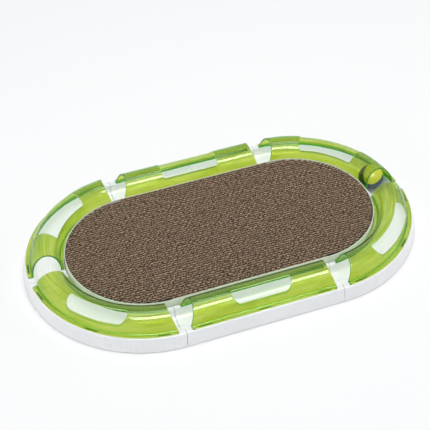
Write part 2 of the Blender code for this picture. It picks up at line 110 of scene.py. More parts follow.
FLOOR_LINE_Z = FLOOR_Z - 1.5 * FLOOR_LINE_HALF
CHANNEL_INNER = TRACK_RADIUS - CHANNEL_HALF
CHANNEL_OUTER = TRACK_RADIUS + CHANNEL_HALF
UNDER_FLOOR = FLOOR_Z - BASE_WALL
TONGUE_ROOF = UNDER_FLOOR + 0.3 * BASE_WALL
GUIDE_ROOF = UNDER_FLOOR + 0.7 * BASE_WALL
BOSS_ROOF = UNDER_FLOOR + 0.45 * BASE_WALL
SLOT_CUT = (RIM_Z - 1.5 * BASE_WALL, RIM_Z + 0.5 * BASE_WALL)
QUARTERS = {"back_right": (1, 0.0), "back_left": (-1, 90.0), "front_left": (-1, 180.0),
            "front_right": (1, 270.0)}
STRAIGHTS = {"back": 0.0, "front": 180.0}
CURVE_STEPS = 72


def arc(centre, radius, start, end, steps):
    """Points along an arc, with its angles in degrees."""
    turns = [math.radians(start + (end - start) * step / steps) for step in range(steps + 1)]
    return [(centre[0] + radius * math.cos(t), centre[1] + radius * math.sin(t)) for t in turns]


def circle(centre, radius, sides=24):
    """A round outline with so many sides."""
    return arc(centre, radius, 0.0, 360.0 - 360.0 / sides, sides - 1)


def rounded(corners, steps=4):
    """An outline with each corner, given as its place and its radius, turned into an arc."""
    outline = []
    count = len(corners)
    for index, (x, y, radius) in enumerate(corners):
        here = Vector((x, y))
        before = (Vector(corners[index - 1][:2]) - here).normalized()
        after = (Vector(corners[(index + 1) % count][:2]) - here).normalized()
        if radius == 0.0:
            outline.append((x, y))
            continue
        opening = before.angle(after)
        centre = here + (before + after).normalized() * (radius / math.sin(opening / 2))
        first = here + before * (radius / math.tan(opening / 2)) - centre
        last = here + after * (radius / math.tan(opening / 2)) - centre
        for step in range(steps + 1):
            spoke = first.slerp(last, step / steps).normalized() * radius
            outline.append((centre.x + spoke.x, centre.y + spoke.y))
    return outline


def trough(depth, steps=14):
    """Half of the channel, from its wall down to the flat floor, at a depth into the plastic."""
    rise = RIM_Z - CHANNEL_LIP - FLOOR_Z
    reach = CHANNEL_HALF - CHANNEL_FLAT + depth
    turns = [math.pi / 2 * (1 - step / steps) for step in range(steps + 1)]
    top = FLOOR_Z + rise
    return [(CHANNEL_FLAT + reach * math.sin(t), top - (rise + depth) * math.cos(t)) for t in turns]


def channel_section():
    """The channel, its rims, skirt and ledge as one closed outline of radius and height."""
    foot = SKIRT_RADIUS + SKIRT_FLARE
    crest = SKIRT_RADIUS - SKIRT_OVERRUN * 2.0 * SKIRT_FLARE / (RIM_Z - SKIRT_LIFT)
    ledge_edge, ledge_under = WELL_RADIUS - LEDGE_WIDTH, LEDGE_TOP - BASE_WALL
    rim_under, inner_wall = RIM_Z - BASE_WALL, WELL_RADIUS + BASE_WALL
    corners = [(foot - BASE_WALL, SKIRT_LIFT, EDGE_ROUND), (foot, SKIRT_LIFT, EDGE_ROUND)]
    corners += [(crest, RIM_Z, SKIRT_ROUND), (CHANNEL_OUTER + LIP_OVERHANG, RIM_Z, RIM_ROUND)]
    corners += [(TRACK_RADIUS + dr, z, 0.0) for dr, z in trough(0.0)]
    corners += [(FLOOR_LINE_R + FLOOR_LINE_HALF, FLOOR_Z, 0.0), (FLOOR_LINE_R, FLOOR_LINE_Z, 0.0),
                (FLOOR_LINE_R - FLOOR_LINE_HALF, FLOOR_Z, 0.0)]
    corners += [(TRACK_RADIUS - dr, z, 0.0) for dr, z in reversed(trough(0.0))]
    corners += [(CHANNEL_INNER - LIP_OVERHANG, RIM_Z, RIM_ROUND), (WELL_RADIUS, RIM_Z, RIM_ROUND)]
    corners += [(WELL_RADIUS, LEDGE_TOP, LEDGE_HOLLOW), (ledge_edge, LEDGE_TOP, LEDGE_ROUND)]
    corners += [(ledge_edge, ledge_under, LEDGE_ROUND), (inner_wall, ledge_under, WALL_HOLLOW)]
    corners += [(inner_wall, rim_under, 0.0), (CHANNEL_INNER - BASE_WALL, rim_under, 0.0)]
    corners += [(TRACK_RADIUS - dr, z, 0.0) for dr, z in trough(BASE_WALL)]
    corners += [(TRACK_RADIUS + dr, z, 0.0) for dr, z in reversed(trough(BASE_WALL))]
    corners += [(CHANNEL_OUTER + BASE_WALL, rim_under, 0.0), (SKIRT_RADIUS - BASE_WALL, rim_under, 0.0)]
    return rounded(corners)


def mesh_from(name, points, faces, smooth_angle=30.0):
    """A closed mesh, faces outwards, smooth but for its sharp edges."""
    shape = bmesh.new()
    corners = [shape.verts.new(point) for point in points]
    for face in faces:
        shape.faces.new([corners[index] for index in face])
    bmesh.ops.recalc_face_normals(shape, faces=shape.faces)
    mesh = bpy.data.meshes.new(name)
    shape.to_mesh(mesh)
    shape.free()
    mesh.shade_smooth()
    mesh.set_sharp_from_angle(angle=math.radians(smooth_angle))
    return mesh


def swept(name, rows, loop=False, caps=None, rims=()):
    """Rows of section points joined by quads, as a loop or capped at both ends.

    The caps take the second material slot, and the sides listed as rims the third."""
    size = len(rows[0])
    points = [point for row in rows for point in row]
    faces = []
    for row in range(len(rows) if loop else len(rows) - 1):
        here, there = row * size, (row + 1) % len(rows) * size
        faces += [(here + i, here + (i + 1) % size, there + (i + 1) % size, there + i) for i in range(size)]
    sides = len(faces)
    if not loop:
        last = (len(rows) - 1) * size
        for cap in caps or [tuple(range(size))]:
            faces += [cap, tuple(last + i for i in cap)]
    mesh = mesh_from(name, points, faces)
    for polygon in mesh.polygons:
        rim = polygon.index % size in rims
        polygon.material_index = 1 if polygon.index >= sides else 2 if rim else 0
    return mesh


def prism(outline, low, high):
    """An upright prism over a closed outline."""
    rows = [[(x, y, z) for x, y in outline] for z in (low, high)]
    return swept("prism", rows)


def turned_block(x, y, turn, length, wide, low, high, low_wide=None):
    """A box centred on a point and turned about Z, with a second width at its foot if one is given."""
    rows = []
    for z, width in ((low, low_wide or wide), (high, wide)):
        place = Matrix.Translation((x, y, 0.0)) @ Matrix.Rotation(turn, 4, "Z")
        signs = ((-1, -1), (1, -1), (1, 1), (-1, 1))
        rows.append([tuple(place @ Vector((a * length / 2, b * width / 2, z))) for a, b in signs])
    return swept("block", rows)


def joined(meshes):
    """Several meshes put into one, still apart."""
    shape = bmesh.new()
    for mesh in meshes:
        shape.from_mesh(mesh)
    result = bpy.data.meshes.new("joined")
    shape.to_mesh(result)
    shape.free()
    return result


def evaluated(mesh, build):
    """The mesh after the modifiers that build adds to a helper object, with the object removed again."""
    helper = bpy.data.objects.new("helper", mesh)
    bpy.context.scene.collection.objects.link(helper)
    extra = build(helper)
    bpy.context.view_layer.update()
    graph = bpy.context.evaluated_depsgraph_get()
    result = bpy.data.meshes.new_from_object(helper.evaluated_get(graph))
    for item in [helper] + (extra or []):
        bpy.data.objects.remove(item, do_unlink=True)
    return result


def boolean(mesh, tool, operation):
    """The mesh after an exact union or difference with the tool mesh, faces kept in their slots."""
    for part in (mesh, tool):
        while len(part.materials) < 3:
            part.materials.append(None)

    def build(helper):
        cutter = bpy.data.objects.new("cutter", tool)
        bpy.context.scene.collection.objects.link(cutter)
        step = helper.modifiers.new("step", "BOOLEAN")
        step.solver = "EXACT"
        step.operation = operation
        step.object = cutter
        return [cutter]
    return evaluated(mesh, build)


def crisp(mesh, degrees=30.0):
    """The mesh shaded smooth, with edges past the angle kept crisp."""
    mesh.shade_smooth()
    mesh.set_sharp_from_angle(angle=math.radians(degrees))
    return mesh


def curve_rows(section, setback, steps=CURVE_STEPS):
    """A section swept round a quarter turn, each point stopping its own setback short of the end planes."""
    rows = []
    for step in range(steps + 1):
        row = []
        for r, z in section:
            start = math.asin(setback(r, z) / r)
            turn = start + (math.pi / 2 - 2 * start) * step / steps
            row.append((r * math.cos(turn), r * math.sin(turn), z))
        rows.append(row)
    return rows


def straight_rows(section, setback, steps=1):
    """A section swept along a straight side, radius measured from the X axis."""
    rows = []
    for step in range(steps + 1):
        share = 1 - 2 * step / steps
        rows.append([(share * (HALF_STRAIGHT - setback(r, z)), r, z) for r, z in section])
    return rows


def tab_spots(curved, radius):
    """Centre and heading of each tab and its slot along one rim."""
    if not curved:
        return [(x, radius, 0.0) for x in TAB_STRAIGHT_X]
    turns = [math.radians(degrees) for degrees in TAB_ANGLES]
    return [(radius * math.cos(t), radius * math.sin(t), t + math.pi / 2) for t in turns]


def end_place(curved, far, inward, across):
    """Plan place at a distance in from the near or far end of a section, and across the track's middle."""
    r = TRACK_RADIUS + across
    if curved:
        return (inward, r) if far else (r, inward)
    return (inward - HALF_STRAIGHT, r) if far else (HALF_STRAIGHT - inward, r)


def base_fittings(curved):
    """Under the floor: the tongue at the far end, its guides and peg at the near end, and rubber bosses."""
    profile = ((-TONGUE_LENGTH, TONGUE_LOW), (TONGUE_ROOT, TONGUE_LOW), (TONGUE_ROOT, TONGUE_ROOF),
               (2 * SEAM_GAP, TONGUE_ROOF), (2 * SEAM_GAP, TONGUE_TOP), (-TONGUE_LENGTH, TONGUE_TOP))
    sides = (-TONGUE_HALF, TONGUE_HALF)
    parts = [swept("tongue", [[(*end_place(curved, True, a, b), z) for a, z in profile] for b in sides])]
    inside = TONGUE_HALF + GUIDE_GAP
    for low, high in ((-inside - GUIDE_THICK, -inside), (inside, inside + GUIDE_THICK)):
        ends = ((2 * SEAM_GAP, low), (TONGUE_ROOT, low), (TONGUE_ROOT, high), (2 * SEAM_GAP, high))
        parts.append(prism([end_place(curved, False, a, b) for a, b in ends], TONGUE_LOW, GUIDE_ROOF))
    peg = circle(end_place(curved, False, PEG_PLACE, 0.0), PEG_RADIUS)
    parts.append(prism(peg, TONGUE_LOW + SEAM_GAP, TONGUE_ROOF))
    spots = [(x, TRACK_RADIUS) for x in (-RUBBER_STRAIGHT_X, RUBBER_STRAIGHT_X)]
    if curved:
        turns = [math.radians(degrees) for degrees in RUBBER_ANGLES]
        spots = [(TRACK_RADIUS * math.cos(t), TRACK_RADIUS * math.sin(t)) for t in turns]
    section = ((RUBBER_HOLE, BOSS_FOOT), (RUBBER_HOLE + BOSS_WALL, BOSS_FOOT),
               (RUBBER_HOLE + BOSS_WALL, BOSS_ROOF), (RUBBER_HOLE, BOSS_ROOF))
    for x, y in spots:
        rows = []
        for turn in (2 * math.pi * step / BOSS_SIDES for step in range(BOSS_SIDES)):
            rows.append([(x + r * math.cos(turn), y + r * math.sin(turn), z) for r, z in section])
        parts.append(swept("boss", rows, loop=True))
    return joined(parts)


def base_mesh(curved):
    """One base section with its fittings and slots, along the quarter turn or the back straight."""
    rows = (curve_rows if curved else straight_rows)(channel_section(), lambda r, z: BASE_SEAM / 2)
    cuts = [prism(circle(end_place(curved, True, -PEG_PLACE, 0.0), PEG_HOLE_RADIUS), 0.0, UNDER_FLOOR)]
    for radius, wide in (OUTER_SLOT, INNER_SLOT):
        for x, y, turn in tab_spots(curved, radius):
            cuts.append(turned_block(x, y, turn, SLOT_LENGTH, wide, *SLOT_CUT))
    mesh = boolean(swept("base", rows), base_fittings(curved), "UNION")
    return crisp(boolean(mesh, joined(cuts), "DIFFERENCE"))


SKIN_INPUTS = ("Gloss Scale", "Roughness Low", "Roughness High", "Skin Depth")
SKIN_GRAIN = 2400.0
SKIN_HEIGHT = 0.00003
DRIFT_SHARE = (0.3, 0.7)


def feed(tree, socket, value):
    """A socket linked to another socket, or set to a plain value."""
    if isinstance(value, bpy.types.NodeSocket):
        tree.links.new(value, socket)
    else:
        socket.default_value = value


def add_node(tree, kind, inputs=None, **settings):
    """A new node with its settings, and its inputs fed by name or number."""
    node = tree.nodes.new(kind)
    for setting, value in settings.items():
        setattr(node, setting, value)
    for label, value in (inputs or {}).items():
        feed(tree, node.inputs[label], value)
    return node


def new_group(name, kind, inputs, outputs):
    """An empty node group, and the sockets inside it that carry its named inputs."""
    group = bpy.data.node_groups.new(name, kind)
    for side, sockets in (("INPUT", inputs), ("OUTPUT", outputs)):
        for label, sort in sockets.items():
            group.interface.new_socket(label, in_out=side, socket_type="NodeSocket" + sort)
    return group, group.nodes.new("NodeGroupInput").outputs


def drift_group():
    """Shared by all of the object's materials: a colour that drifts between two close tones."""
    group, given = new_group("tone_drift", "ShaderNodeTree",
                             {"Vector": "Vector", "Scale": "Float", "Detail": "Float",
                              "Tone": "Color", "Other Tone": "Color"}, {"Color": "Color"})
    cloud = add_node(group, "ShaderNodeTexNoise",
                     {"Vector": given["Vector"], "Scale": given["Scale"], "Detail": given["Detail"]})
    share = add_node(group, "ShaderNodeMapRange", {
        "Value": cloud.outputs["Fac"], "From Min": DRIFT_SHARE[0], "From Max": DRIFT_SHARE[1]})
    blend = add_node(group, "ShaderNodeMix", {"Factor": share.outputs["Result"], "A": given["Tone"],
                                              "B": given["Other Tone"]}, data_type="RGBA")
    add_node(group, "NodeGroupOutput", {"Color": blend.outputs["Result"]})
    return group


def moulding_group():
    """Shared by the moulded plastics: slight unevenness of gloss and a fine skin of the mould."""
    group, given = new_group("moulded_skin", "ShaderNodeTree", dict.fromkeys(SKIN_INPUTS, "Float"),
                             {"Roughness": "Float", "Normal": "Vector"})
    place = group.nodes.new("ShaderNodeTexCoord").outputs["Object"]
    cloud = add_node(group, "ShaderNodeTexNoise",
                     {"Vector": place, "Scale": given["Gloss Scale"], "Detail": 3.0}).outputs["Fac"]
    skin = add_node(group, "ShaderNodeTexNoise", {"Vector": place, "Scale": SKIN_GRAIN}).outputs["Fac"]
    rough = add_node(group, "ShaderNodeMapRange",
                     {"Value": cloud, "To Min": given["Roughness Low"], "To Max": given["Roughness High"]})
    bump = add_node(group, "ShaderNodeBump",
                    {"Height": skin, "Strength": given["Skin Depth"], "Distance": SKIN_HEIGHT})
    add_node(group, "NodeGroupOutput",
             {"Roughness": rough.outputs["Result"], "Normal": bump.outputs["Normal"]})
    return group


tone_drift, moulded_skin = drift_group(), moulding_group()


def linear(red, green, blue):
    """Screen colour in 0-255 to scene-linear RGBA."""
    shares = [value / 255 for value in (red, green, blue)]
    return (*[s / 12.92 if s <= 0.04045 else ((s + 0.055) / 1.055) ** 2.4 for s in shares], 1.0)


def principled(name):
    """A new material and its Principled shader."""
    material = bpy.data.materials.new(name)
    material.use_nodes = True
    return material, material.node_tree.nodes["Principled BSDF"]


def add_skin(material, shader, low, high, depth, scale=60.0):
    """Moulded skin on a plastic: roughness drifting between two values, and a normal."""
    values = dict(zip(SKIN_INPUTS, (scale, low, high, depth)))
    skin = add_node(material.node_tree, "ShaderNodeGroup", values, node_tree=moulded_skin)
    for label in ("Roughness", "Normal"):
        feed(material.node_tree, shader.inputs[label], skin.outputs[label])


def tinted(material, shader, tones, scale, detail=2.0, place=None):
    """Base colour drifting between two close tones over the piece, by Object coordinates or others."""
    tree = material.node_tree
    if place is None:
        place = tree.nodes.new("ShaderNodeTexCoord").outputs["Object"]
    drift = add_node(tree, "ShaderNodeGroup", {"Vector": place, "Scale": scale, "Detail": detail,
                                               "Tone": tones[0], "Other Tone": tones[1]},
                     node_tree=tone_drift)
    feed(tree, shader.inputs["Base Color"], drift.outputs["Color"])


WHITE_TONES = (linear(240, 241, 243), linear(246, 247, 248))


def white_moulding():
    """Glossy white plastic of the base."""
    material, shader = principled("white_moulding")
    tinted(material, shader, WHITE_TONES, scale=9.0)
    add_skin(material, shader, low=0.24, high=0.34, depth=0.12)
    shader.inputs["IOR"].default_value = 1.5
    return material


def placed(mesh, side, turn):
    """A copy of the mesh turned about Z and moved to its pole."""
    copy = mesh.copy()
    pole = Matrix.Translation((side * HALF_STRAIGHT, 0.0, 0.0))
    copy.transform(pole @ Matrix.Rotation(math.radians(turn), 4, "Z"))
    return copy


def add_piece(name, mesh, materials, slot, body, *nodes):
    """A finished piece on its body, standing for the named solids; one material takes every face."""
    if len(materials) == 1:
        mesh.materials.clear()
    for index, material in enumerate(materials):
        if index < len(mesh.materials):
            mesh.materials[index] = material
        else:
            mesh.materials.append(material)
    piece = bpy.data.objects.new(name, mesh)
    bpy.context.scene.collection.objects.link(piece)
    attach(piece, body)
    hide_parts(*nodes)


white_plastic = white_moulding()
curved_base, straight_base = base_mesh(True), base_mesh(False)
for where, (side, turn) in QUARTERS.items():
    add_piece("channel_curve_" + where, placed(curved_base, side, turn), [white_plastic], "white_plastic",
              "base_ring", "base_curve_" + where)
for where, turn in STRAIGHTS.items():
    add_piece("channel_straight_" + where, placed(straight_base, 0, turn), [white_plastic], "white_plastic",
              "base_ring", "base_straight_" + where)

# Rubber feet. Twelve moulded discs of grey rubber, pressed into the bosses under the channel floor. They
# keep the ring from sliding, and the solids' own shapes are right, so they only get their material.

RUBBER_COUNT = 12
RUBBER_TONES = (linear(58, 60, 62), linear(74, 76, 78))


def foot_rubber():
    """Dull grey rubber."""
    material, shader = principled("foot_rubber")
    tinted(material, shader, RUBBER_TONES, scale=300.0)
    add_skin(material, shader, low=0.7, high=0.85, depth=0.5, scale=200.0)
    return material


rubber = foot_rubber()
for number in range(1, RUBBER_COUNT + 1):
    foot = bpy.data.objects["rubber_foot_%02d" % number]
    for slot in foot.material_slots:
        slot.material = rubber

# Ball. Two equal half shells of moulded plastic, one lime and one slate, pressed together along a wavy seam.
# It is hollow, runs in the channel and stands partly under the back right cover.

BALL_RADIUS = 0.0190
BALL_WALL = 0.0015
BALL_RIM_ROUND = 0.00025
BALL_RINGS = (28, 10)
BALL_Z = 0.0263
BALL_PATTERN = 1.5
BALL_ANGLE = 12.9
BALL_TURN = (-48.0, 22.0, -57.0)
BALL_TONES = {"lime": (linear(196, 206, 40), linear(208, 216, 60)),
              "slate": (linear(52, 66, 84), linear(70, 84, 102))}


def seam_latitude(turn):
    """Latitude of the wavy seam at a turn round the pole."""
    bend = BALL_PATTERN * math.cos(2 * turn)
    return 0.0 if abs(bend) < 1e-6 else math.asin((math.sqrt(1 + 4 * bend * bend) - 1) / (2 * bend))


def ball_shell(around=96):
    """One half of the ball, with its rim rounded along the seam."""
    points, faces, layers = [], [], []
    for radius, rings in zip((BALL_RADIUS, BALL_RADIUS - BALL_WALL), BALL_RINGS):
        pole = len(points)
        points.append((0.0, 0.0, radius))
        for ring in range(1, rings + 1):
            for step in range(around):
                turn = 2 * math.pi * step / around
                rim = seam_latitude(turn) + SEAM_GAP / 2 / BALL_RADIUS
                height = math.pi / 2 - (math.pi / 2 - rim) * ring / rings
                sunk = radius - (BALL_RIM_ROUND if ring == rings and radius == BALL_RADIUS else 0.0)
                flat = sunk * math.cos(height)
                points.append((flat * math.cos(turn), flat * math.sin(turn), sunk * math.sin(height)))
        for i in range(around):
            j = (i + 1) % around
            faces.append((pole, pole + 1 + i, pole + 1 + j))
            for ring in range(rings - 1):
                a = pole + 1 + ring * around
                faces.append((a + i, a + j, a + around + j, a + around + i))
        layers.append(pole + 1 + (rings - 1) * around)
    for i in range(around):
        j = (i + 1) % around
        faces.append((layers[0] + i, layers[0] + j, layers[1] + j, layers[1] + i))
    return mesh_from("ball_shell", points, faces, smooth_angle=50.0)


def ball_plastic(name, tones):
    """Satin plastic of one half of the ball."""
    material, shader = principled(name)
    tinted(material, shader, tones, scale=60.0)
    add_skin(material, shader, low=0.28, high=0.4, depth=0.2)
    return material


ball_place = Matrix.Translation((HALF_STRAIGHT, 0.0, 0.0))
ball_place = ball_place @ Matrix.Rotation(math.radians(BALL_ANGLE), 4, "Z")
ball_place = ball_place @ Matrix.Translation((TRACK_RADIUS, 0.0, BALL_Z))
ball_place = ball_place @ Euler([math.radians(value) for value in BALL_TURN]).to_matrix().to_4x4()
other_half = Matrix.Rotation(math.pi, 4, "X") @ Matrix.Rotation(math.pi / 2, 4, "Z")
for name, place in (("lime", ball_place), ("slate", ball_place @ other_half)):
    shell = ball_shell()
    shell.transform(place)
    plastic = ball_plastic(name + "_ball", BALL_TONES[name])
    add_piece("ball_half_" + name, shell, [plastic], name + "_ball_plastic", "ball", "ball_shell_" + name)

# Covers. Six moulded domes of clear green plastic, four curved and two straight, with flat flanges and a
# window to reach through, on the outer side of the front three and right across the back three. Their tabs
# snap into the slots of the rims.

COVER_WALL = 0.0018
DOME_HALF = 0.0223
DOME_RISE = 0.0270
FLANGE_BOTTOM = 0.0243
FLANGE_TOP = 0.0259
FLANGE_OUTER = 0.1750
FLANGE_INNER = 0.1198
FOOT_FILLET = 0.0025
END_SETBACK = 0.00975
CREST_SETBACK = 0.0083
FLANGE_TIP = 0.0028
OUTER_TIP_STEPS = (0.0, 0.04, 0.1, 0.2, 0.32, 0.46, 0.62, 0.8, 1.0)
INNER_TIP_STEPS = (0.75, 0.5, 0.3, 0.15, 0.05, 0.0)
TIP_INSIDE = TRACK_RADIUS - DOME_HALF - FOOT_FILLET - FLANGE_INNER
FOOT_TURN = (268.0, 188.0)
FOOT_STEPS = 7
FOOT_HOLLOW = 0.0012
HOLLOW_STEPS = 2
DOME_STEPS = 44
TAB_LENGTH = 0.0185
TAB_DEPTH = 0.0092
TAB_TAPER = 0.6
OUTER_TAB_THICK = 0.0018
INNER_TAB_THICK = 0.0011
WINDOW_HALF_LENGTH = 0.045
WINDOW_TURNS = {"back_right": (26.0, 64.0), "back_left": (26.0, 64.0), "front_left": (27.6, 62.2),
                "front_right": (23.0, 65.5)}
NARROW_WINDOW = (0.1486, 0.1653, 0.0110)
WIDE_WINDOW = (0.1292, 0.1645, 0.0035)
WINDOW_ROUND = 0.0035
WINDOW_STEPS = 24
FLANGE_MIDDLE = (FLANGE_BOTTOM + FLANGE_TOP) / 2
WINDOW_CUT = (FLANGE_MIDDLE, FLANGE_TOP + 1.2 * DOME_RISE)
COVER_EDGE_ROUND = 0.0004
COVER_EDGE_ANGLE = 50.0
STREAK_STRETCH = 22.0
CLEAR_TONES = ((0.66, 0.575, 0.015, 1.0), (1.0, 0.79, 0.24, 1.0))
CLEAR_DEPTH = (0.30, 0.87, 0.0, 1.0)
CLEAR_DENSITY = 350.0
# Painted light: the colour, above 1 in red and blue, of the light let through the covers, undoing the green
# tint of the wall.
CLEAR_PAINTED_LIGHT = (1.29, 1.04, 1.42, 1.0)
CUT_END_TONES = (linear(58, 138, 46), linear(84, 160, 60))
RIM_TONES = (linear(206, 230, 140), linear(220, 238, 160))


def cover_outlines():
    """Upper and lower side of the cover's section, paired one to one from the outer flange to the inner."""
    outer = [FLANGE_OUTER - back * FLANGE_TIP for back in OUTER_TIP_STEPS]
    inner = [FLANGE_INNER + back * TIP_INSIDE for back in INNER_TIP_STEPS]
    pairs = [((r, FLANGE_TOP), (r, FLANGE_BOTTOM)) for r in outer]
    start = math.asin(FOOT_FILLET / DOME_RISE)
    hip = DOME_HALF * math.cos(start)
    feet = []
    for step in range(FOOT_STEPS + 1):
        turn = math.radians(FOOT_TURN[0] + (FOOT_TURN[1] - FOOT_TURN[0]) * step / FOOT_STEPS)
        away = hip + FOOT_FILLET + FOOT_FILLET * math.cos(turn)
        height = FLANGE_TOP + FOOT_FILLET + FOOT_FILLET * math.sin(turn)
        share = min(1.0, step / (FOOT_STEPS - HOLLOW_STEPS))
        below = (DOME_HALF + FOOT_FILLET) * (1 - share) + (DOME_HALF - COVER_WALL) * share
        hollow = FOOT_HOLLOW * max(0, step - FOOT_STEPS + HOLLOW_STEPS) / HOLLOW_STEPS
        feet.append(((away, height), (below, FLANGE_BOTTOM + hollow)))
    pairs += [((TRACK_RADIUS + a, z), (TRACK_RADIUS + b, w)) for (a, z), (b, w) in feet]
    half, rise = DOME_HALF - COVER_WALL, DOME_RISE - COVER_WALL
    for step in range(DOME_STEPS + 1):
        turn = start + (math.pi - 2 * start) * step / DOME_STEPS
        across, up = math.cos(turn), math.sin(turn)
        over = (TRACK_RADIUS + DOME_HALF * across, FLANGE_TOP + DOME_RISE * up)
        pairs.append((over, (TRACK_RADIUS + half * across, FLANGE_TOP + rise * up)))
    pairs += [((TRACK_RADIUS - a, z), (TRACK_RADIUS - b, w)) for (a, z), (b, w) in reversed(feet)]
    pairs += [((r, FLANGE_TOP), (r, FLANGE_BOTTOM)) for r in inner]
    return [pair[0] for pair in pairs], [pair[1] for pair in pairs]


def cover_setback(r, z):
    """How far a cover's end stands back: it leans in above the flange and is round at the flange tips."""
    lean = CREST_SETBACK * max(0.0, z - FLANGE_TOP) / DOME_RISE
    far = min(1.0, max(0.0, r - (FLANGE_OUTER - FLANGE_TIP)) / FLANGE_TIP)
    near = min(1.0, max(0.0, (FLANGE_INNER + TIP_INSIDE) - r) / TIP_INSIDE)
    tips = FLANGE_TIP * (1 - math.sqrt(1 - far ** 2)) + TIP_INSIDE * (1 - math.sqrt(1 - near ** 2))
    return END_SETBACK + lean + tips


def window_outline(window, turns):
    """Plan outline of a window, bent round the quarter turn between two angles where turns are given."""
    low, high, outer = window
    reach = math.radians(turns[1] - turns[0]) / 2 * TRACK_RADIUS if turns else WINDOW_HALF_LENGTH
    flat = rounded([(-reach, low, WINDOW_ROUND), (-reach, high, outer), (reach, high, outer),
                    (reach, low, WINDOW_ROUND)], steps=8)
    if not turns:
        return flat
    middle = math.radians(turns[0] + turns[1]) / 2
    outline = []
    for (x, y), (nx, ny) in zip(flat, flat[1:] + flat[:1]):
        pieces = WINDOW_STEPS if abs(nx - x) > reach else 1
        for piece in range(pieces):
            turn = middle - (x + (nx - x) * piece / pieces) / TRACK_RADIUS
            r = y + (ny - y) * piece / pieces
            outline.append((r * math.cos(turn), r * math.sin(turn)))
    return outline


def edged(meshes):
    """Every face of the meshes put in the third material slot, for rims and tabs."""
    for mesh in meshes:
        mesh.polygons.foreach_set("material_index", [2] * len(mesh.polygons))


def cover_mesh(window, turns=None):
    """A cover with its tabs, its window and rounded edges, curved where the window's angles are given."""
    curved = turns is not None
    over, under = cover_outlines()
    section = over + under[::-1]
    last = len(section) - 1
    caps = [(i, i + 1, last - i - 1, last - i) for i in range(len(over) - 1)]
    rims = (len(over) - 1, last)
    rows = (curve_rows if curved else straight_rows)(section, cover_setback, CURVE_STEPS)
    tabs = []
    for radius, thick in ((OUTER_SLOT[0], OUTER_TAB_THICK), (INNER_SLOT[0], INNER_TAB_THICK)):
        for x, y, turn in tab_spots(curved, radius):
            tabs.append(turned_block(x, y, turn, TAB_LENGTH, thick, FLANGE_BOTTOM - TAB_DEPTH, FLANGE_MIDDLE,
                                     TAB_TAPER * thick))
    edged(tabs)
    mesh = boolean(swept("cover", rows, caps=caps, rims=rims), joined(tabs), "UNION")
    cutter = prism(window_outline(window, turns), *WINDOW_CUT)
    edged([cutter])
    mesh = boolean(mesh, cutter, "DIFFERENCE")

    def soften(helper):
        bevel = helper.modifiers.new("edges", "BEVEL")
        bevel.width = COVER_EDGE_ROUND
        bevel.segments = 2
        bevel.limit_method = "ANGLE"
        bevel.angle_limit = math.radians(COVER_EDGE_ANGLE)
    return crisp(evaluated(mesh, soften), degrees=40.0)


def maths(tree, operation, a, b=0.0):
    """What a Math node makes of sockets or numbers."""
    return add_node(tree, "ShaderNodeMath", {0: a, 1: b}, operation=operation).outputs[0]


def vector(tree, x, y, z):
    """A vector put together from sockets or numbers."""
    return add_node(tree, "ShaderNodeCombineXYZ", {"X": x, "Y": y, "Z": z}).outputs["Vector"]


def track_streaks(tree):
    """Coordinates that change fast across the track and slowly along it, as plastic flows into a mould."""
    place = tree.nodes.new("ShaderNodeTexCoord").outputs["Object"]
    split = add_node(tree, "ShaderNodeSeparateXYZ", {"Vector": place}).outputs
    past = maths(tree, "SUBTRACT", maths(tree, "ABSOLUTE", split["X"]), HALF_STRAIGHT)
    spoke = vector(tree, maths(tree, "MAXIMUM", past, 0.0), split["Y"], 0.0)
    radius = add_node(tree, "ShaderNodeVectorMath", {0: spoke}, operation="LENGTH").outputs["Value"]
    return vector(tree, maths(tree, "MULTIPLY", radius, STREAK_STRETCH), split["X"], split["Y"])


def clear_green():
    """Clear green plastic: clean glossy surfaces, with the colour in the thickness of the wall, and painted
    light for what lies beneath it.
    """
    material, shader = principled("clear_green_plastic")
    tree = material.node_tree
    tinted(material, shader, CLEAR_TONES, scale=16.0, detail=3.0, place=track_streaks(tree))
    add_skin(material, shader, low=0.10, high=0.14, depth=0.01)
    shader.inputs["Transmission Weight"].default_value = 1.0
    shader.inputs["IOR"].default_value = 1.46
    # Painted light: shadow and diffuse rays pass the cover through a Transparent shader brighter than 1, so
    # the channel beneath gets light without the cover's green tint and brighter than real plastic lets
    # through.
    through = add_node(tree, "ShaderNodeBsdfTransparent", {"Color": CLEAR_PAINTED_LIGHT})
    rays = tree.nodes.new("ShaderNodeLightPath").outputs
    soft = maths(tree, "MAXIMUM", rays["Is Shadow Ray"], rays["Is Diffuse Ray"])
    choose = add_node(tree, "ShaderNodeMixShader", {0: soft, 1: shader.outputs[0], 2: through.outputs[0]})
    depth = add_node(tree, "ShaderNodeVolumeAbsorption", {"Color": CLEAR_DEPTH, "Density": CLEAR_DENSITY})
    output = tree.nodes["Material Output"]
    feed(tree, output.inputs["Surface"], choose.outputs[0])
    feed(tree, output.inputs["Volume"], depth.outputs["Volume"])
    return material


def edge_green(name, tones):
    """The same plastic where its colour gathers or thins: cut ends, or the rims and tabs."""
    material, shader = principled(name)
    tinted(material, shader, tones, scale=40.0)
    add_skin(material, shader, low=0.2, high=0.3, depth=0.1)
    return material


cover_plastics = [clear_green(), edge_green("green_cut_end", CUT_END_TONES),
                  edge_green("green_rim", RIM_TONES)]
windows = {"back": WIDE_WINDOW, "front": NARROW_WINDOW}
for where, (side, turn) in QUARTERS.items():
    mesh = placed(cover_mesh(windows[where.split("_")[0]], WINDOW_TURNS[where]), side, turn)
    add_piece("dome_curve_" + where, mesh, cover_plastics, "green_translucent_plastic", where + "_cover",
              "cover_curve_" + where)
for where, turn in STRAIGHTS.items():
    add_piece("dome_straight_" + where, placed(cover_mesh(windows[where]), 0, turn), cover_plastics,
              "green_translucent_plastic", where + "_straight_cover", "cover_straight_" + where)

# Scratching pad. Strips of brown single-wall corrugated board stood on edge and glued face to face along X,
# so that the top shows the flutes as waves between straight liners.

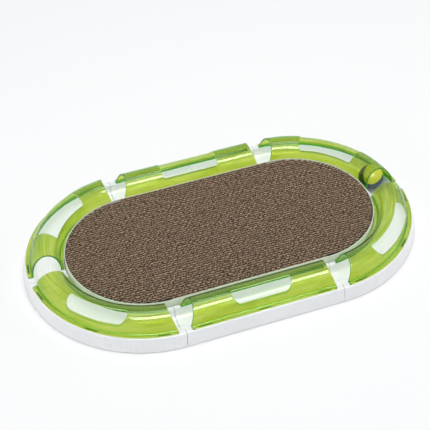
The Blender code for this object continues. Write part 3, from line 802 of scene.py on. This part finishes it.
PAD_RADIUS = 0.1166
PAD_END_STEPS = 47
PAD_BOTTOM, PAD_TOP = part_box("scratch_pad")[0][2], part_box("scratch_pad")[1][2]
STRIP_COUNT = 52
STRIP_PITCH = 2 * PAD_RADIUS / STRIP_COUNT
FLUTE_LENGTH = 0.0080
FLUTE_POINTS = 7
PAPER = 0.00050
LINER = 0.00070
OPEN_DEPTH = 0.0070
UNDER_DEPTH = 0.0012
OVERLAP = 0.0005
FLUTE_LENGTHS = {"Pad Radius": PAD_RADIUS, "Half Straight": HALF_STRAIGHT, "Strip Pitch": STRIP_PITCH,
                 "Flute Length": FLUTE_LENGTH, "Flute Swing": (STRIP_PITCH - LINER - PAPER) / 2,
                 "Paper": PAPER, "Top": PAD_TOP, "Depth": OPEN_DEPTH}
FLUTE_COUNTS = {"Strips": STRIP_COUNT, "Points": FLUTE_POINTS, "Seed": 4}
FLUTE_RECESS = (0.0002, 0.0003)
FLUTE_FACES = {"top": (PAD_TOP - FLUTE_RECESS[0], OPEN_DEPTH),
               "underside": (PAD_BOTTOM + UNDER_DEPTH + FLUTE_RECESS[1], UNDER_DEPTH)}
BOARD_TONES = (linear(44, 31, 22), linear(220, 184, 148))
# Painted shade for the board: a near black that the colour is mixed towards from just under the top down
# into the flutes, standing in for the shade in the hollows between the sheets.
BOARD_PAINTED_SHADE = linear(6, 4, 3)
PAINTED_SHADE_FROM, PAINTED_SHADE_TO = PAD_TOP - 0.0004, PAD_TOP - 0.0014
PAINTED_SHADE_FLOOR = PAD_BOTTOM + 0.6 * UNDER_DEPTH
FIBRE_INPUTS = ("Grain", "Strength", "Height")
FIBRE_GRAIN = 1800.0
FIBRE_STRENGTH = 0.4
FIBRE_HEIGHT = 0.0001


def pad_reach(y):
    """Half length of the pad's outline at a distance from its long axis."""
    return HALF_STRAIGHT + math.sqrt(max(0.0, PAD_RADIUS ** 2 - y ** 2))


def board_liners():
    """The straight liners between strips, and the closed board between the open flutes of both faces."""
    outline = []
    for side, begin in ((1, -90.0), (-1, 90.0)):
        outline += arc((side * HALF_STRAIGHT, 0.0), PAD_RADIUS, begin, begin + 180.0, PAD_END_STEPS)
    floor, roof = PAD_BOTTOM + UNDER_DEPTH, PAD_TOP - OPEN_DEPTH
    parts = [prism(outline, floor, roof)]
    for strip in range(STRIP_COUNT + 1):
        y = -PAD_RADIUS + strip * STRIP_PITCH
        y += LINER / 2 * (1 if strip == 0 else -1 if strip == STRIP_COUNT else 0)
        reach = min(pad_reach(y - LINER / 2), pad_reach(y + LINER / 2))
        for low, high in ((PAD_BOTTOM, floor + OVERLAP), (roof - OVERLAP, PAD_TOP)):
            parts.append(turned_block(0.0, y, 0.0, 2 * reach, LINER, low, high))
    return crisp(joined(parts))


def flute_tree(material):
    """Geometry nodes that lay a wave of paper in every strip, cut to the pad's outline."""
    inputs = {"Geometry": "Geometry", **dict.fromkeys(FLUTE_LENGTHS, "Float")}
    tree, given = new_group("board_flutes", "GeometryNodeTree",
                            {**inputs, **dict.fromkeys(FLUTE_COUNTS, "Int")}, {"Geometry": "Geometry"})
    pitch, half_straight, radius = given["Strip Pitch"], given["Half Straight"], given["Pad Radius"]

    # One point for each strip, on the pad's short axis, with a random shift for its wave.
    half_pitch = maths(tree, "MULTIPLY", pitch, 0.5)
    first = vector(tree, 0.0, maths(tree, "SUBTRACT", half_pitch, radius), 0.0)
    across = vector(tree, 0.0, pitch, 0.0)
    strips = add_node(tree, "GeometryNodeMeshLine",
                      {"Count": given["Strips"], "Start Location": first, "Offset": across})
    shift = add_node(tree, "FunctionNodeRandomValue", {"Seed": given["Seed"]})
    shifted = add_node(tree, "GeometryNodeStoreNamedAttribute", data_type="FLOAT")
    feed(tree, shifted.inputs["Geometry"], strips.outputs["Mesh"])
    feed(tree, shifted.inputs["Name"], "shift")
    feed(tree, shifted.inputs["Value"], shift.outputs[1])

    # A straight run of points along X, laid in every strip.
    stride = maths(tree, "DIVIDE", given["Flute Length"], given["Points"])
    reach = maths(tree, "ADD", half_straight, radius)
    steps = maths(tree, "DIVIDE", maths(tree, "MULTIPLY", reach, 2.0), stride)
    left_end = vector(tree, maths(tree, "MULTIPLY", reach, -1.0), 0.0, 0.0)
    run = add_node(tree, "GeometryNodeMeshLine",
                   {"Count": maths(tree, "ADD", steps, 1.0), "Start Location": left_end,
                    "Offset": vector(tree, stride, 0.0, 0.0)})
    laid = add_node(tree, "GeometryNodeInstanceOnPoints",
                    {"Points": shifted.outputs["Geometry"], "Instance": run.outputs["Mesh"]})
    flat = add_node(tree, "GeometryNodeRealizeInstances", {"Geometry": laid.outputs["Instances"]})

    # Points outside the pad's outline taken away, and the others swung sideways into a wave.
    place = tree.nodes.new("GeometryNodeInputPosition").outputs["Position"]
    split = add_node(tree, "ShaderNodeSeparateXYZ", {"Vector": place}).outputs
    own_shift = add_node(tree, "GeometryNodeInputNamedAttribute", {"Name": "shift"}, data_type="FLOAT")
    cycles = maths(tree, "DIVIDE", split["X"], given["Flute Length"])
    cycles = maths(tree, "ADD", cycles, own_shift.outputs["Attribute"])
    wave = maths(tree, "SINE", maths(tree, "MULTIPLY", cycles, 2 * math.pi))
    swing = maths(tree, "MULTIPLY", wave, given["Flute Swing"])
    past = maths(tree, "SUBTRACT", maths(tree, "ABSOLUTE", split["X"]), half_straight)
    past = maths(tree, "MAXIMUM", past, 0.0)
    off_axis = maths(tree, "ADD", maths(tree, "ABSOLUTE", split["Y"]), half_pitch)
    squares = [maths(tree, "MULTIPLY", side, side) for side in (past, off_axis)]
    away = maths(tree, "SQRT", maths(tree, "ADD", *squares))
    trimmed = add_node(tree, "GeometryNodeDeleteGeometry", {
        "Geometry": flat.outputs["Geometry"], "Selection": maths(tree, "GREATER_THAN", away, radius)})
    middle = maths(tree, "SUBTRACT", given["Top"], maths(tree, "MULTIPLY", given["Depth"], 0.5))
    waved = add_node(tree, "GeometryNodeSetPosition", {
        "Geometry": trimmed.outputs["Geometry"], "Offset": vector(tree, 0.0, swing, middle)})

    # Each row of points turned into a sheet of paper on edge.
    path = add_node(tree, "GeometryNodeMeshToCurve", {"Mesh": waved.outputs["Geometry"]})
    upright = add_node(tree, "GeometryNodeSetCurveNormal", {"Curve": path.outputs["Curve"]}, mode="Z_UP")
    edge = add_node(tree, "GeometryNodeCurvePrimitiveQuadrilateral",
                    {"Width": given["Paper"], "Height": given["Depth"]})
    sheet = add_node(tree, "GeometryNodeCurveToMesh", {
        "Curve": upright.outputs["Curve"], "Profile Curve": edge.outputs["Curve"], "Fill Caps": True})
    whole = add_node(tree, "GeometryNodeRealizeInstances", {"Geometry": sheet.outputs["Mesh"]})
    finish = add_node(tree, "GeometryNodeSetMaterial",
                      {"Geometry": whole.outputs["Geometry"], "Material": material})
    add_node(tree, "NodeGroupOutput", {"Geometry": finish.outputs["Geometry"]})
    return tree


def board_flutes(material, top, depth):
    """The waves of paper between the liners of one face, as a plain mesh."""
    tree = flute_tree(material)
    values = {**FLUTE_LENGTHS, **FLUTE_COUNTS, "Top": top, "Depth": depth}

    def build(helper):
        step = helper.modifiers.new("flutes", "NODES")
        step.node_group = tree
        for item in tree.interface.items_tree:
            if item.item_type == "SOCKET" and item.in_out == "INPUT" and item.name in values:
                step[item.identifier] = values[item.name]
    return crisp(evaluated(bpy.data.meshes.new("flutes"), build), degrees=60.0)


def fibre_group():
    """Shared by board and card: the fine nap of paper fibres."""
    group, given = new_group("paper_fibre", "ShaderNodeTree", dict.fromkeys(FIBRE_INPUTS, "Float"),
                             {"Normal": "Vector"})
    place = group.nodes.new("ShaderNodeTexCoord").outputs["Object"]
    nap = add_node(group, "ShaderNodeTexNoise", {"Vector": place, "Scale": given["Grain"], "Detail": 3.0})
    bump = add_node(group, "ShaderNodeBump", {"Height": nap.outputs["Fac"], "Strength": given["Strength"],
                                              "Distance": given["Height"]})
    add_node(group, "NodeGroupOutput", {"Normal": bump.outputs["Normal"]})
    return group


paper_fibre = fibre_group()


def raw_paper(name, tones, painted_shade=None):
    """Raw paper: fibrous, mottled and matt, with painted shade darkening it down between the sheets where a
    shade colour is given.
    """
    material, shader = principled(name)
    tree = material.node_tree
    tinted(material, shader, tones, scale=260.0, detail=4.0)
    # Painted shade: the colour goes towards the painted shade colour from just under the top down into the
    # flutes, except at the very bottom of the underside.
    if painted_shade:
        place = tree.nodes.new("ShaderNodeTexCoord").outputs["Object"]
        height = add_node(tree, "ShaderNodeSeparateXYZ", {"Vector": place}).outputs["Z"]
        down = add_node(tree, "ShaderNodeMapRange",
                        {"Value": height, "From Min": PAINTED_SHADE_FROM, "From Max": PAINTED_SHADE_TO})
        above = maths(tree, "GREATER_THAN", height, PAINTED_SHADE_FLOOR)
        painted_shade_share = maths(tree, "MULTIPLY", down.outputs["Result"], above)
        plain = shader.inputs["Base Color"].links[0].from_socket
        shade = add_node(tree, "ShaderNodeMix", {"Factor": painted_shade_share, "A": plain, "B": painted_shade}, data_type="RGBA")
        feed(tree, shader.inputs["Base Color"], shade.outputs["Result"])
    shader.inputs["Roughness"].default_value = 0.9
    values = dict(zip(FIBRE_INPUTS, (FIBRE_GRAIN, FIBRE_STRENGTH, FIBRE_HEIGHT)))
    fibre = add_node(tree, "ShaderNodeGroup", values, node_tree=paper_fibre)
    feed(tree, shader.inputs["Normal"], fibre.outputs["Normal"])
    return material


board = raw_paper("brown_board", BOARD_TONES, BOARD_PAINTED_SHADE)
add_piece("pad_liners", board_liners(), [board], "corrugated_cardboard", "pad", "scratch_pad")
for face, (top, depth) in FLUTE_FACES.items():
    flutes = board_flutes(board, top, depth)
    add_piece("pad_flutes_" + face, flutes, [board], "corrugated_cardboard", "pad", "scratch_pad")

# Edge band. A strip of pale card as high as the board, wrapped once round the pad and glued to its edge. It
# closes the ends of the flutes.

BAND_OUTER = 0.1180
BAND_THICK = 0.0011
BAND_STEPS = 64
CARD_TONES = (linear(214, 220, 202), linear(226, 231, 216))


def band_ring():
    """The band as a thin upright loop with softened edges."""
    inner = BAND_OUTER - BAND_THICK
    section = rounded([(inner, PAD_BOTTOM, EDGE_ROUND), (BAND_OUTER, PAD_BOTTOM, EDGE_ROUND),
                       (BAND_OUTER, PAD_TOP, EDGE_ROUND), (inner, PAD_TOP, EDGE_ROUND)], steps=2)
    rows = []
    for pole, begin in ((HALF_STRAIGHT, -90.0), (-HALF_STRAIGHT, 90.0)):
        for step in range(BAND_STEPS + 1):
            turn = math.radians(begin + 180.0 * step / BAND_STEPS)
            rows.append([(pole + r * math.cos(turn), r * math.sin(turn), z) for r, z in section])
    return swept("band", rows, loop=True)


band_card = raw_paper("pale_card", CARD_TONES)
add_piece("pad_band", band_ring(), [band_card], "pale_card_band", "pad", "pad_edge_band")

# Studio. A pale floor and white surroundings, soft boxes at a plain level of light, and a camera that stands
# as the photograph's did.

CAMERA_AZIMUTH = 20.576
CAMERA_ELEVATION = 41.010
CAMERA_DISTANCE = 2.202
CAMERA_ROLL = -0.902
CAMERA_TARGET = Vector((0.0155, 0.0668, 0.0))
CAMERA_FOCAL_PIXELS = 1432.0
PICTURE_WIDTH = 430
SENSOR_WIDTH = 36.0
FLOOR_HALF = 6.0
FLOOR_TONE = (0.96, 0.96, 0.96, 1.0)
FLOOR_GLOW = 0.1
ROOM_TONE = (0.97, 0.985, 1.0, 1.0)
ROOM_LIGHT = 0.62


def studio_world():
    """White surroundings: full white to the eye, gentler as light."""
    world = bpy.data.worlds.new("studio")
    world.use_nodes = True
    bpy.context.scene.world = world
    tree = world.node_tree
    light = tree.nodes["Background"]
    light.inputs["Color"].default_value = ROOM_TONE
    light.inputs["Strength"].default_value = ROOM_LIGHT
    seen = add_node(tree, "ShaderNodeBackground", {"Color": (1.0, 1.0, 1.0, 1.0)})
    rays = tree.nodes.new("ShaderNodeLightPath").outputs
    direct = maths(tree, "MAXIMUM", rays["Is Camera Ray"], rays["Is Glossy Ray"])
    either = maths(tree, "MAXIMUM", direct, rays["Is Transmission Ray"])
    choose = add_node(tree, "ShaderNodeMixShader", {0: either, 1: light.outputs[0], 2: seen.outputs[0]})
    feed(tree, tree.nodes["World Output"].inputs["Surface"], choose.outputs[0])


def studio_floor():
    """A wide pale floor that keeps a faint shadow and is white to the eye."""
    mesh = bpy.data.meshes.new("floor")
    corners = [(x * FLOOR_HALF, y * FLOOR_HALF, 0.0) for x, y in ((-1, -1), (1, -1), (1, 1), (-1, 1))]
    mesh.from_pydata(corners, [], [(0, 1, 2, 3)])
    floor = bpy.data.objects.new("studio_floor", mesh)
    bpy.context.scene.collection.objects.link(floor)
    material, shader = principled("floor_paper")
    shader.inputs["Base Color"].default_value = FLOOR_TONE
    shader.inputs["Roughness"].default_value = 1.0
    shader.inputs["Specular IOR Level"].default_value = 0.0
    tree = material.node_tree
    rays = tree.nodes.new("ShaderNodeLightPath").outputs
    share = maths(tree, "MULTIPLY", rays["Is Camera Ray"], FLOOR_GLOW)
    glow = tree.nodes.new("ShaderNodeEmission")
    choose = add_node(tree, "ShaderNodeMixShader", {0: share, 1: shader.outputs[0], 2: glow.outputs[0]})
    feed(tree, tree.nodes["Material Output"].inputs["Surface"], choose.outputs[0])
    mesh.materials.append(material)


def soft_lamp(name, direction, distance, size, watts, gloss_only=False):
    """A rectangular soft box aimed at the middle of the object, its long side level."""
    lamp = bpy.data.lights.new(name, "AREA")
    lamp.shape = "RECTANGLE"
    lamp.size, lamp.size_y = size
    lamp.energy = watts
    item = bpy.data.objects.new(name, lamp)
    bpy.context.scene.collection.objects.link(item)
    item.location = Vector(direction).normalized() * distance
    item.rotation_euler = (-item.location).to_track_quat("-Z", "Y").to_euler()
    item.visible_diffuse = not gloss_only


def photo_camera():
    """The camera of the photograph."""
    azimuth, elevation = math.radians(CAMERA_AZIMUTH), math.radians(CAMERA_ELEVATION)
    forward = Vector((math.sin(azimuth) * math.cos(elevation), math.cos(azimuth) * math.cos(elevation),
                      -math.sin(elevation)))
    right = Vector((math.cos(azimuth), -math.sin(azimuth), 0.0))
    turn = Matrix.Rotation(math.radians(-CAMERA_ROLL), 3, forward)
    right, up = turn @ right, turn @ right.cross(forward)
    camera = bpy.data.cameras.new("photo_camera")
    camera.sensor_width = SENSOR_WIDTH
    camera.lens = SENSOR_WIDTH * CAMERA_FOCAL_PIXELS / PICTURE_WIDTH
    item = bpy.data.objects.new("photo_camera", camera)
    bpy.context.scene.collection.objects.link(item)
    axes = Matrix((right, up, -forward)).transposed().to_4x4()
    item.matrix_world = Matrix.Translation(CAMERA_TARGET - forward * CAMERA_DISTANCE) @ axes
    bpy.context.scene.camera = item


studio_world()
studio_floor()
soft_lamp("gloss_strip", (-0.02, -0.60, 0.80), distance=2.0, size=(1.8, 0.6), watts=42.0, gloss_only=True)
soft_lamp("left_softbox", (-1.0, -0.2, 0.4), distance=2.2, size=(1.4, 0.8), watts=3.0)
soft_lamp("right_softbox", (1.0, -0.1, 0.4), distance=2.2, size=(1.4, 0.8), watts=4.0)
soft_lamp("top_softbox", (0.0, 0.0, 1.0), distance=2.2, size=(1.4, 1.4), watts=20.0)
photo_camera()
bpy.context.scene.view_settings.view_transform = "Standard"
